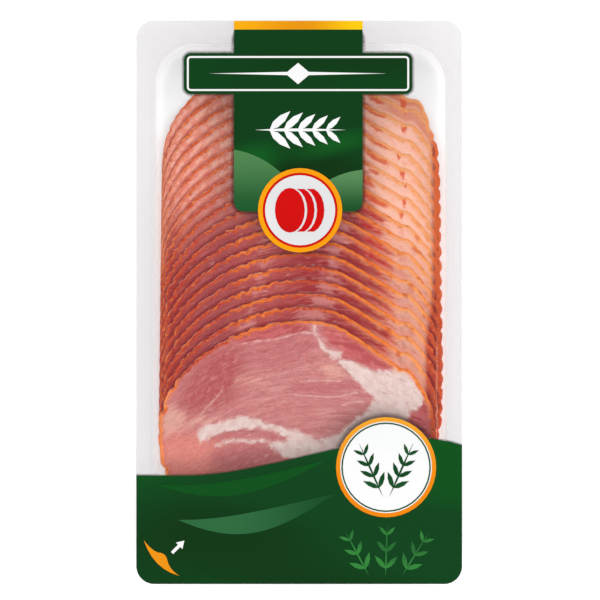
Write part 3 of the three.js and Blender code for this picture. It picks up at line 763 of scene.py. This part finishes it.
def meat_pattern(slice_number, u, v, rim):
    """Distances and amounts, point by point, that the meat's material turns into colours."""
    behind = how_far_back(slice_number)
    fat = deepest(u, v, FAT_SHOULDER, FAT_LOW, FAT_CRESCENT)
    fat = np.maximum(fat, 0.5 - distance_to_line(u, v, FAT_LINE))
    far_part = v > 2
    # behind the front slice, fat runs all along the right shoulder
    if slice_number < SLICE_COUNT - 1:
        shoulder_start = 38.5 - 14 * smoothstep(0.4, 0.75, behind) + 1.6 * math.sin(slice_number * 2.3)
        band = np.minimum(u - shoulder_start, 11 - rim)
        fat = np.maximum(fat, np.where(far_part, band, OUTSIDE))
    else:
        fat = np.maximum(fat, inside_depth(u, v, FAT_SEAM) - 0.9 - 0.7 * smoothstep(36, 45, v))
    pale = np.maximum(0.6 - distance_to_line(u, v, PALE_BAND), deepest(u, v, *PALE_PATCHES))
    # half-fatty streaks that cross the strips behind the front slice, and a vivid red patch
    seam_u = np.interp(behind, (0, 0.16, 0.26), (-24, -20, -15.5))
    streak_u = np.interp(behind, (0.05, 0.1, 0.2, 0.4), (5, 9.5, 13, 15))
    streak_reach = np.interp(behind, (0.05, 0.2), (6.5, 3.5))
    streak = np.maximum(streak_reach - np.abs(u - streak_u), 1.5 - np.abs(u - seam_u))
    vivid = 6 - np.abs(u - 31) if 0.35 < behind < 0.62 else np.full(u.shape, OUTSIDE)
    # smoked flecks by the step in the rim and left of it, another place and size on each slice
    draw = np.random.default_rng(40 + slice_number)
    fleck = np.full(u.shape, OUTSIDE)
    for first_u, last_u, wide, deep in ((42.0, 45.5, 0.6, 2.0), (28.0, 34.0, 2.6, 0.9)):
        away_u, away_rim = u - draw.uniform(first_u, last_u), rim - draw.uniform(0.2, 2.4)
        fleck = np.maximum(fleck, draw.uniform(0.7, 2.3) - np.hypot(away_u / wide, away_rim / deep))
    # the steep outermost part on the right, where the slices' edges lie side by side
    bundle = u - 57 + 3 * smoothstep(0.45, 0.15, behind)
    return {
        "fat": fat,
        "seam": np.minimum(from_nearest(u, v, FINE_SEAMS), CLEAR),
        "crease_shade": np.minimum(from_nearest(u, v, SHADED_CREASES), CLEAR),
        "red": deepest(u, v, LEAN_TOP, LEAN_RIGHT, LEAN_WEDGE),
        "red_left": inside_depth(u, v, LEAN_LEFT),
        "muscle": np.maximum(deepest(u, v, *MUSCLES), OUTSIDE),
        "pale": pale,
        "streak": np.where(far_part, streak, OUTSIDE),
        "vivid": np.where(far_part, vivid, OUTSIDE),
        "fleck": np.where(far_part & (behind > 0.55), fleck, OUTSIDE),
        "bundle": np.where(behind > 0, bundle, bundle - 2.0),
        "place_u": u,
        "place_v": v,
        "behind": np.full(u.shape, behind),
        "grain": grain_place(slice_number, u, v),
    }


def meat_material():
    graph = Graph("smoked_pork")
    attribute, ramp, mix, times, jitter = graph.attribute, graph.ramp, graph.mix, graph.times, graph.jitter
    rim, bare, behind = attribute("rim"), attribute("bare"), attribute("behind")
    across, along = attribute("place_u"), attribute("place_v")
    grain = graph.vector_attribute("grain")

    blobs = graph.noise(0.34, detail=3, source=grain)
    specks = graph.noise(1.3, detail=4, roughness=0.6, source=grain)
    broad = graph.noise(0.11, detail=2, source=grain)
    streaks = graph.noise(1.0, detail=4, roughness=0.6, stretch=(0.06, 0.42, 0.4), source=grain)
    fibres = graph.noise(1.0, detail=4, roughness=0.65, stretch=(0.2, 1.9, 0.5), source=grain)
    grit = graph.noise(2.1, detail=3, roughness=0.75, source=grain)
    feather = graph.noise(1.0, detail=3, roughness=0.6, stretch=(0.06, 0.6, 0.5), offset=(7, 3, 0),
                          source=grain)

    # the front slice: pink, with deeper muscles, streaks and fibres
    lean = mix(ramp(streaks, 0.36, 0.66), srgb(193, 115, 116), srgb(211, 144, 140))
    lean = mix(ramp(broad, 0.4, 0.62, 0, 0.5), lean, srgb(204, 124, 122))
    left_red = ramp(jitter(attribute("red_left"), blobs, 8), -8, 3, 0, 0.85)
    lean = mix(left_red, lean, srgb(177, 75, 80))
    salmon = times(ramp(across, -18, -42), ramp(along, 4, -6))
    lean = mix(salmon, lean, srgb(219, 130, 119))
    muscle = ramp(jitter(jitter(attribute("muscle"), blobs, 6), feather, 6), -3.5, 3.0, 0, 0.75)
    lean = mix(muscle, lean, srgb(190, 102, 106))
    lean = mix(ramp(fibres, 0.5, 0.72, 0, 0.34), lean, srgb(234, 180, 172))
    lean = mix(ramp(fibres, 0.48, 0.3, 0, 0.26), lean, srgb(180, 94, 98))
    lean = mix(ramp(blobs, 0.5, 0.7, 0, 0.35), lean, srgb(224, 148, 142))
    lean = mix(ramp(specks, 0.42, 0.28, 0, 0.35), lean, srgb(178, 88, 92))
    red = jitter(jitter(attribute("red"), blobs, 7), specks, 3)
    red_tone = mix(ramp(feather, 0.38, 0.6), srgb(178, 66, 72), srgb(202, 98, 100))
    red_tone = mix(ramp(blobs, 0.52, 0.68, 0, 0.6), red_tone, srgb(214, 126, 122))
    lean = mix(ramp(red, -1.4, 1.6, 0, 0.9), lean, red_tone)

    # the strips behind it: deep red in the middle, salmon further back and to the left
    strip = mix(ramp(across, -52, -38), srgb(158, 54, 54), srgb(158, 68, 72))
    strip = mix(ramp(across, -34, -20), strip, srgb(174, 76, 76))
    strip = mix(ramp(across, -14, 4), strip, srgb(156, 42, 48))
    strip = mix(ramp(feather, 0.5, 0.68, 0, 0.45), strip, srgb(196, 104, 102))
    vivid = ramp(jitter(attribute("vivid"), blobs, 14), -1, 3, 0, 0.8)
    strip = mix(vivid, strip, srgb(190, 36, 38))
    streak = jitter(jitter(attribute("streak"), feather, 22), blobs, 12)
    strip = mix(ramp(streak, -2.5, 3.5, 0, 0.65), strip, srgb(212, 142, 138))
    upper = mix(ramp(blobs, 0.38, 0.62), srgb(246, 152, 130), srgb(254, 186, 166))
    strip = mix(times(ramp(behind, 0.42, 0.78), ramp(across, 32, 0)), strip, upper)
    strip = mix(ramp(fibres, 0.5, 0.72, 0, 0.28), strip, srgb(224, 140, 132))
    strip = mix(ramp(fibres, 0.46, 0.3, 0, 0.28), strip, srgb(146, 40, 46))
    is_strip = ramp(behind, 0.0, 0.04)
    lean = mix(is_strip, lean, strip)

    # fat: lumpy at its edge on the front slice, feathered on the strips
    lumpy = jitter(jitter(attribute("fat"), blobs, 3.6), specks, 1.5)
    feathered = times(jitter(jitter(attribute("fat"), feather, 14), blobs, 8), 0.36)
    fat_depth = mix(is_strip, lumpy, feathered)
    near_fat = times(ramp(fat_depth, -2.0, -0.2, 0, 0.5), is_strip)
    lean = mix(near_fat, lean, srgb(214, 78, 58))
    fat_tone = mix(ramp(blobs, 0.3, 0.7), srgb(224, 194, 187), srgb(236, 212, 206))
    fat_near = mix(ramp(blobs, 0.42, 0.62), srgb(219, 155, 138), srgb(207, 133, 116))
    fat_far = mix(ramp(blobs, 0.48, 0.66, 0, 0.6), srgb(254, 193, 173), srgb(251, 160, 130))
    fat_back = mix(ramp(behind, 0.3, 0.62), fat_near, fat_far)
    fat_back = mix(times(ramp(behind, 0.9, 0.97), ramp(across, 30, 40)), fat_back, srgb(222, 126, 98))
    fat_tone = mix(is_strip, fat_tone, fat_back)
    fat_tone = mix(ramp(specks, 0.55, 0.75, 0, 0.35), fat_tone, srgb(248, 228, 220))
    colour = mix(ramp(fat_depth, -1.0, 1.1), lean, fat_tone)

    # pale patches, fine seams, painted shade in the creases, and marbling
    pale = jitter(jitter(attribute("pale"), feather, 12), specks, 4)
    colour = mix(ramp(pale, -2.4, 2.6, 0, 0.6), colour, srgb(236, 182, 164))
    seam = jitter(jitter(attribute("seam"), specks, 0.6), blobs, 1.4)
    colour = mix(ramp(seam, 0.75, 0.0, 0, 0.5), colour, srgb(232, 190, 182))
    crease = jitter(attribute("crease_shade"), specks, 0.8)
    colour = mix(ramp(crease, 0.5, 0.05, 0, 0.4), colour, srgb(148, 82, 86))
    flecks = graph.noise(0.5, detail=5, roughness=0.72, stretch=(0.4, 1, 1), offset=(30, 10, 0), source=grain)
    flecks = times(ramp(flecks, 0.59, 0.74, 0, 0.5), ramp(behind, 0.5, 0.75, 1.0, 0.3))
    colour = mix(flecks, colour, srgb(236, 192, 182))
    deep = graph.noise(0.42, detail=5, roughness=0.7, stretch=(0.35, 1, 1), offset=(-20, 50, 0), source=grain)
    colour = mix(ramp(deep, 0.58, 0.72, 0, 0.4), colour, srgb(164, 60, 64))

    # the steep part on the right is smoked deep orange, with painted shade of dark red in its gaps, where the
    # next slice's edge lies close
    bundle = ramp(jitter(attribute("bundle"), specks, 2.5), -1.6, 1.2)
    bundle_near = mix(ramp(specks, 0.4, 0.62), srgb(166, 42, 30), srgb(200, 80, 50))
    bundle_far = mix(ramp(specks, 0.4, 0.62), srgb(190, 60, 26), srgb(226, 104, 48))
    bundle_tone = mix(ramp(behind, 0.3, 0.6), bundle_near, bundle_far)
    colour = mix(bundle, colour, mix(ramp(bare, 0.4, 1.6), srgb(138, 24, 22), bundle_tone))

    # and so is the steep part on the left, but darker, and paler again far back
    side = times(ramp(across, -50, -56, 0, 0.8), times(ramp(behind, 0.84, 0.62), is_strip))
    colour = mix(side, colour, mix(ramp(specks, 0.42, 0.6), srgb(142, 34, 32), srgb(180, 60, 50)))

    # painted shade: a deeper, redder tone where the next slice's edge lies close
    sideways = graph.math("ABSOLUTE", across)
    contact_shade = ramp(graph.math("DIVIDE", bare, ramp(sideways, 50, 57, 2.0, 0.9)), 1.0, 0.05)
    contact_shade = times(contact_shade, is_strip)
    contact_shade_tone = mix(ramp(behind, 0.45, 0.75), srgb(142, 28, 32), srgb(200, 78, 64))
    fat_contact_shade = mix(ramp(behind, 0.3, 0.62), srgb(232, 150, 124), srgb(253, 196, 168))
    contact_shade_tone = mix(ramp(across, 24, 38), contact_shade_tone, fat_contact_shade)
    contact_shade_tone = mix(bundle, contact_shade_tone, srgb(150, 36, 26))
    colour = mix(times(contact_shade, 0.7), colour, contact_shade_tone)

    # the smoked rim: a haze of orange, then an orange line, yellower on the right
    ragged = jitter(jitter(rim, blobs, 3.2), specks, 1.8)
    haze_tone = mix(ramp(across, -4, 34), srgb(206, 84, 52), srgb(242, 158, 104))
    haze = times(ramp(ragged, 3.2, 0.6), ramp(across, 4, 36, 0.3, 0.6))
    haze = times(haze, times(ramp(bundle, 0, 1, 1.0, 0.2), ramp(side, 0, 0.8, 1.0, 0.2)))
    colour = mix(haze, colour, haze_tone)
    colour = mix(ramp(jitter(attribute("fleck"), specks, 2.4), -0.5, 0.5, 0, 0.9), colour, srgb(226, 88, 46))
    line_tone = mix(ramp(across, -32, -20), srgb(190, 56, 24), srgb(216, 88, 34))
    line_tone = mix(ramp(across, -12, 2), line_tone, srgb(188, 54, 26))
    line_tone = mix(ramp(across, 8, 18), line_tone, srgb(234, 116, 46))
    line_tone = mix(ramp(across, 34, 46), line_tone, srgb(243, 156, 92))
    line_tone = mix(times(ramp(behind, 0.45, 0.75), ramp(across, 0, -24)), line_tone, srgb(220, 88, 42))
    line_tone = mix(times(ramp(behind, 0.05, 0.0), ramp(across, -14, 6)), line_tone, srgb(236, 126, 54))
    pale_rims = times(ramp(behind, 0.4, 0.7), ramp(across, 26, 36))
    line_tone = mix(pale_rims, line_tone, srgb(249, 172, 118))
    pale_side = times(ramp(behind, 0.5, 0.72), ramp(across, -48, -55))
    line_tone = mix(pale_side, line_tone, srgb(232, 138, 102))
    front_side = times(ramp(behind, 0.04, 0.0), ramp(across, -50, -56))
    line_tone = mix(front_side, line_tone, srgb(246, 140, 84))
    # where the rims curl over most
    crest = times(times(ramp(across, -33, -26), ramp(across, -9, -15)), ramp(behind, 0.55, 0.35))
    line_tone = mix(times(crest, ramp(specks, 0.4, 0.6, 0.2, 0.75)), line_tone, srgb(240, 130, 52))
    line_tone = mix(ramp(specks, 0.48, 0.62, 0, 0.7), line_tone, srgb(252, 150, 52))
    spots = times(ramp(blobs, 0.52, 0.68, 0, 0.6), ramp(pale_rims, 0, 1, 1.0, 0.25))
    line_tone = mix(spots, line_tone, srgb(190, 52, 20))
    bundle_line = mix(ramp(specks, 0.42, 0.6), srgb(196, 62, 28), srgb(228, 108, 54))
    line_tone = mix(bundle, line_tone, mix(ramp(behind, 0.3, 0.6), bundle_line, srgb(228, 108, 54)))
    width = times(ramp(blobs, 0.35, 0.65, 0.75, 1.6), ramp(across, 24, 44, 1.0, 1.15))
    width = times(times(width, ramp(pale_side, 0, 1, 1.0, 0.6)), ramp(crest, 0, 1, 1.0, 1.35))
    width = times(width, ramp(front_side, 0, 1, 1.0, 1.5))
    line = ramp(graph.math("DIVIDE", jitter(rim, specks, 1.1), width), 1.35, 0.6)
    colour = mix(line, colour, line_tone)
    dark_edge = times(times(ramp(rim, 0.3, 0.05), ramp(specks, 0.35, 0.6, 0.2, 0.9)), ramp(across, 34, 10))
    colour = mix(dark_edge, colour, srgb(150, 40, 24))
    # a painted highlight: a thin pale line along the very edge of the rims, towards the left
    painted_wet_highlight = times(times(ramp(rim, 0.2, 0.05), ramp(fibres, 0.46, 0.58)), ramp(across, 24, -6))
    colour = mix(painted_wet_highlight, colour, srgb(246, 210, 196))

    # a broken glint down the right side, where the film touches
    away = graph.math("ABSOLUTE", graph.math("SUBTRACT", jitter(across, blobs, 1.2), GLINT_AT))
    glint = times(ramp(away, 0.42, 0.1), ramp(graph.axis(1), -12 * MM, -22 * MM))
    colour = mix(times(glint, ramp(fibres, 0.42, 0.56, 0.15, 0.7)), colour, srgb(230, 170, 152))

    # a fine grit over all of it, and painted light on the meat by the wide print, against the film's shade
    # there
    grit = times(ramp(grit, 0.3, 0.7, -0.24, 0.24), ramp(fat_depth, -1.0, 1.1, 1.0, 0.5))
    by_print = graph.math("MAXIMUM", ramp(across, -30, 12, 0.08, 0.38), ramp(across, -34, -48, 0.08, 0.26))
    by_print = times(ramp(along, 2, -14), by_print)
    light = times(graph.math("ADD", grit, 1.0), graph.math("ADD", by_print, 1.0))
    colour = mix(1.0, colour, graph.grey(light), "MULTIPLY")
    # less the sheen that the studio's light adds
    colour = graph.vector_math("SUBTRACT", colour, (MEAT_SHEEN, MEAT_SHEEN, MEAT_SHEEN))
    colour = graph.vector_math("MAXIMUM", colour, (0.006, 0.006, 0.006))
    graph.shade(Base_Color=colour, Roughness=ramp(specks, 0.3, 0.7, 0.3, 0.46), IOR=1.4,
                Specular_IOR_Level=0.25, Subsurface_Weight=0.08, Subsurface_Scale=0.0015, Coat_Weight=0.06,
                Coat_Roughness=0.15)
    graph.shader.inputs["Subsurface Radius"].default_value = (1.0, 0.45, 0.35)
    graph.bump(times(mix(0.4, fibres, specks), ramp(fat_depth, -1.0, 1.1, 1.0, 0.6)), 0.22, 0.0005)
    return graph.material


def make_slices():
    material = meat_material()
    for slice_number in range(SLICE_COUNT):
        piece = slice_mesh(slice_number)
        finish_piece(piece, material, "smoked_pork", f"slice_{slice_number + 1:02d}")


# ---------------------------------------------------------------- the print

INK_ROUGHNESS = (0.3, 0.38)
INK_SHEEN = 0.009
LIGHT_LEVEL = 1.06


def printed(red, green, blue):
    """The ink that looks like this under the studio's light, which adds a faint sheen to it."""
    return tuple(max(value - INK_SHEEN, 0.001) / LIGHT_LEVEL for value in srgb(red, green, blue)[:3]) + (1.0,)


class Ink(Graph):
    """Printed ink, as a gradient of a few tones with a fine grain in its gloss."""

    def __init__(self, name, tone):
        super().__init__(name)
        self.tone = tone

    def drift(self, other, scale, low=0.42, high=0.7, turn=0.5, offset=(0, 0, 0), most=1.0):
        """Lets the tone drift into another one over broad, soft, slanting bands."""
        bands = self.noise(scale, detail=0, stretch=(0.6, 1.7, 1), turn=(0, 0, turn), offset=offset)
        self.tone = self.mix(self.ramp(bands, low, high, 0, most), self.tone, other)
        return self

    def fade(self, axis, start, end, other):
        """Fades the tone into another one from start to end, in millimetres along an axis."""
        self.tone = self.mix(self.ramp(self.axis(axis), start * MM, end * MM), self.tone, other)
        return self

    def glow(self, centre, reach, turn, other, most=1.0):
        """Lets the tone turn softly into another one within an ellipse, in millimetres."""
        inputs = {"Vector": self.place(), "Location": (centre[0] * MM, centre[1] * MM, 0),
                  "Rotation": (0, 0, math.radians(turn)), "Scale": (reach[0] * MM, reach[1] * MM, 1)}
        local = self.node("Mapping", inputs, vector_type="TEXTURE")
        distance = self.vector_math("LENGTH", local, output=1)
        self.tone = self.mix(self.ramp(distance, 1.0, 0.0, 0, most), self.tone, other)
        return self

    def done(self):
        grain = self.noise(1500, detail=1)
        self.shade(Base_Color=self.tone, Roughness=self.ramp(grain, 0.3, 0.7, *INK_ROUGHNESS), IOR=1.45,
                   Specular_IOR_Level=0.1)
        self.bump(grain, 0.04, 0.0001)
        return self.material


def make_print():
    dark, deep, bright = printed(24, 66, 34), printed(17, 50, 24), printed(28, 98, 40)
    (banner_left, _), (banner_right, _) = node_rectangle("banner")
    gold = Ink("ink_gold", printed(252, 176, 2)).fade(0, banner_left, 0, printed(235, 152, 2))
    gold.fade(0, 2, banner_right, printed(254, 207, 4))
    ring = Ink("ink_gold_ring", printed(253, 168, 12)).drift(printed(250, 160, 6), 30)
    banner = Ink("ink_dark_green_banner", dark).drift(deep, 22, 0.5, 0.75, 0.3, (0.4, 0.1, 0), 0.6)
    banner.glow((-23, 60), (24, 11), 18, bright).glow((16, 68), (30, 7), 14, bright, 0.7)
    plaque = Ink("ink_dark_green_plaque", printed(24, 70, 35)).drift(printed(21, 62, 31), 14)
    wide = Ink("ink_dark_green_wide", printed(27, 71, 37))
    wide.drift(deep, 15, 0.45, 0.68, -0.35, (0.3, 0.2, 0), 0.55)
    wide.drift(printed(22, 84, 36), 13, 0.56, 0.74, -0.3, (0.1, 0.05, 0))
    seal = Ink("ink_orange", printed(244, 139, 6)).fade(1, -80, -50, printed(245, 166, 50))
    left_low, left_high = node_rectangle("banner_field_left")
    left = Ink("ink_mid_green_field", printed(84, 136, 84))
    left.fade(1, left_high[1], left_low[1], printed(36, 92, 50))
    right_low, right_high = node_rectangle("banner_field_right")
    right = Ink("ink_pale_green_field", printed(92, 142, 92))
    right.fade(1, right_high[1], right_low[1], printed(34, 84, 46))
    band = Ink("ink_mid_green", printed(22, 96, 34)).drift(printed(26, 84, 36), 20)
    low_band = Ink("ink_pale_green", printed(52, 108, 66)).fade(0, -30, 20, printed(30, 78, 44))
    leaf = Ink("ink_leaf_green", printed(58, 134, 64)).drift(printed(44, 104, 54), 60)
    green = Ink("ink_dark_green", printed(28, 74, 40)).drift(printed(34, 82, 46), 60)
    white = Ink("ink_white", printed(250, 250, 250)).drift(printed(246, 247, 247), 40)
    badge_white = Ink("ink_white_badge", printed(233, 233, 233)).drift(printed(229, 229, 230), 40)
    red = Ink("ink_red", printed(214, 18, 22)).drift(printed(204, 14, 20), 60)
    flash = Ink("ink_orange_flash", printed(240, 150, 30)).drift(printed(246, 170, 60), 60)

    inks = {
        "banner": banner, "banner_strip": gold, "banner_field_left": left, "banner_field_right": right,
        "plaque": plaque, "badge_ring": ring, "badge_disc": badge_white, "seal_ring": seal,
        "wide_print": wide, "wide_band": band, "wide_band_low": low_band, "peel_flash": flash,
    }
    by_slot = {"ink_dark_green": green, "ink_leaf_green": leaf, "ink_red": red, "ink_white": white}
    for ink in (*inks.values(), *by_slot.values()):
        ink.done()
    for entry in frame["record"]["subparts"]:
        node, slot_name = entry["node"], entry["material_slot"]
        if slot_name.startswith("ink_"):
            dress(node, (inks.get(node) or by_slot[slot_name]).material)


# ---------------------------------------------------------------- the whole scene

make_camera()
make_studio()
make_floor()
make_tray()
make_lid()
make_slices()
make_print()
